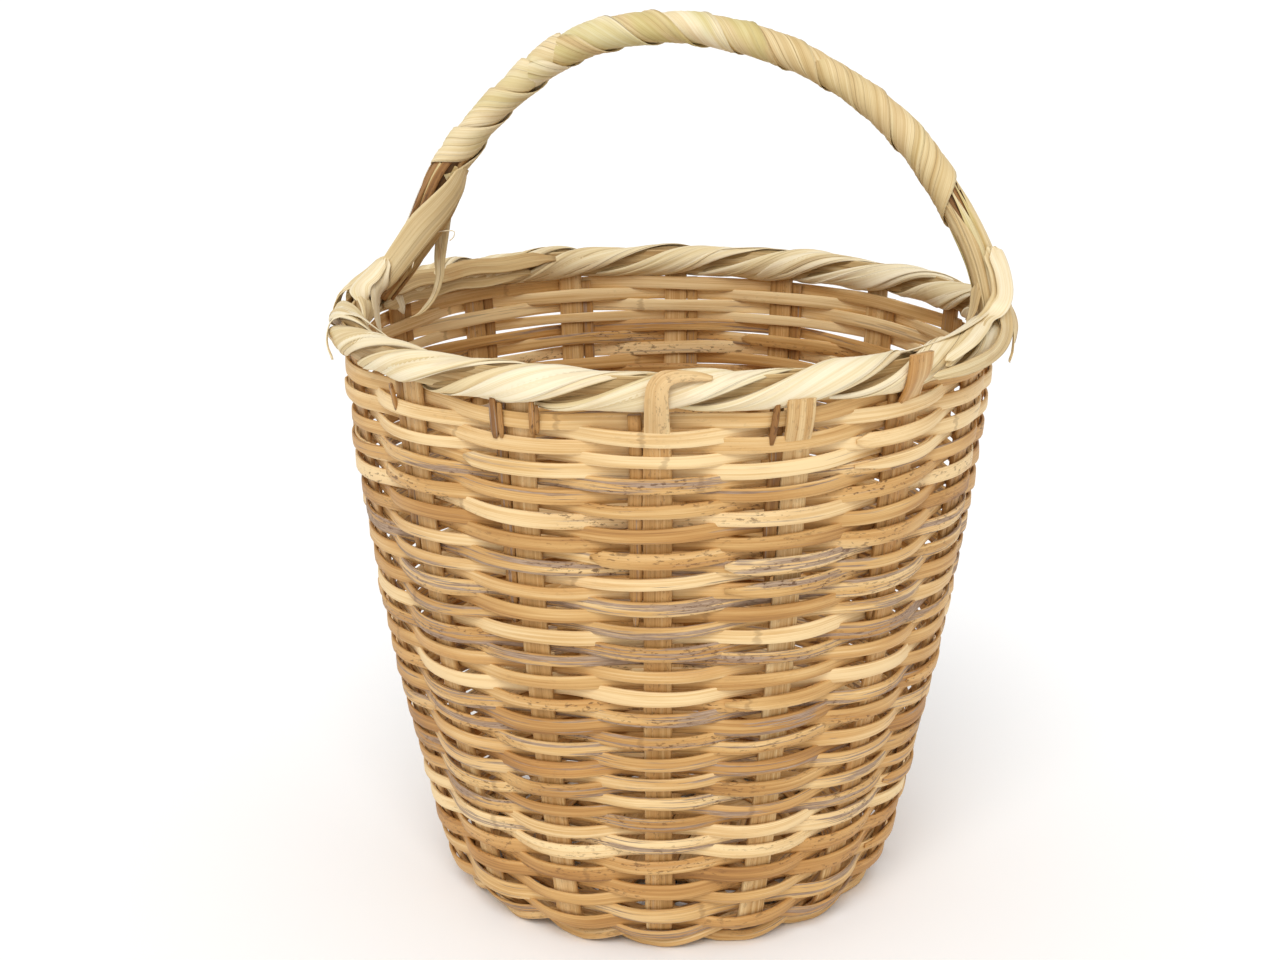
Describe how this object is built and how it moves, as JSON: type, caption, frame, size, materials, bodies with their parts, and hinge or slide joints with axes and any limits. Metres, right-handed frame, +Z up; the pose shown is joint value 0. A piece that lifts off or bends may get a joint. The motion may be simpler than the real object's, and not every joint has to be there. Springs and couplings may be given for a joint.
{
  "type": "wicker basket",
  "caption": "Round tapered basket woven from split cane on flat upright stakes, with a twined leaf rim, a twined foot and a fixed arched handle wrapped in leaf.",
  "frame": {"origin": "on the floor, under the centre of the basket", "axes": "+Z up; the handle arches over the basket in the XZ plane, with its feet on the rim at +X and -X; +Y is the side opposite the front"},
  "size_m": [0.3084, 0.2956, 0.3953],
  "materials": {
    "stake_cane": "pale split cane, vertical grain, dull",
    "weaver_cane": "golden tan split cane with grey bark patches and dark nodes, slightly satin",
    "palm_leaf": "dried cream palm leaf, fine parallel fibres, matt",
    "handle_cane": "brown cane rods, satin"
  },
  "bodies": {
    "root": {"stake_1": "stake_cane", "stake_2": "stake_cane", "stake_3": "stake_cane", "stake_4": "stake_cane", "stake_5": "stake_cane", "stake_6": "stake_cane", "stake_7": "stake_cane", "stake_8": "stake_cane", "bye_stake_1": "stake_cane", "bye_stake_2": "stake_cane", "bye_stake_3": "stake_cane", "bye_stake_4": "stake_cane", "bye_stake_5": "stake_cane", "bye_stake_6": "stake_cane", "bye_stake_7": "stake_cane", "bye_stake_8": "stake_cane", "bye_stake_9": "stake_cane", "bye_stake_10": "stake_cane", "bye_stake_11": "stake_cane", "bye_stake_12": "stake_cane", "bye_stake_13": "stake_cane", "bye_stake_14": "stake_cane", "bye_stake_15": "stake_cane", "bye_stake_16": "stake_cane", "wall_weaver_1a": "weaver_cane", "wall_weaver_1b": "weaver_cane", "wall_weaver_2a": "weaver_cane", "wall_weaver_2b": "weaver_cane", "wall_weaver_3a": "weaver_cane", "wall_weaver_3b": "weaver_cane", "wall_weaver_4a": "weaver_cane", "wall_weaver_4b": "weaver_cane", "base_weaver_a": "weaver_cane", "base_weaver_b": "weaver_cane", "base_binding_1": "weaver_cane", "base_binding_2": "weaver_cane", "foot_strand_a": "weaver_cane", "foot_strand_b": "weaver_cane", "rim_strand_a": "palm_leaf", "rim_strand_b": "palm_leaf", "handle_rod_front": "handle_cane", "handle_rod_back": "handle_cane", "handle_rod_inner": "handle_cane", "handle_wrap_a": "palm_leaf", "handle_wrap_b": "palm_leaf", "lashing_left_1": "palm_leaf", "lashing_left_2": "palm_leaf", "lashing_right_1": "palm_leaf", "lashing_right_2": "palm_leaf"}
  },
  "joints": []
}
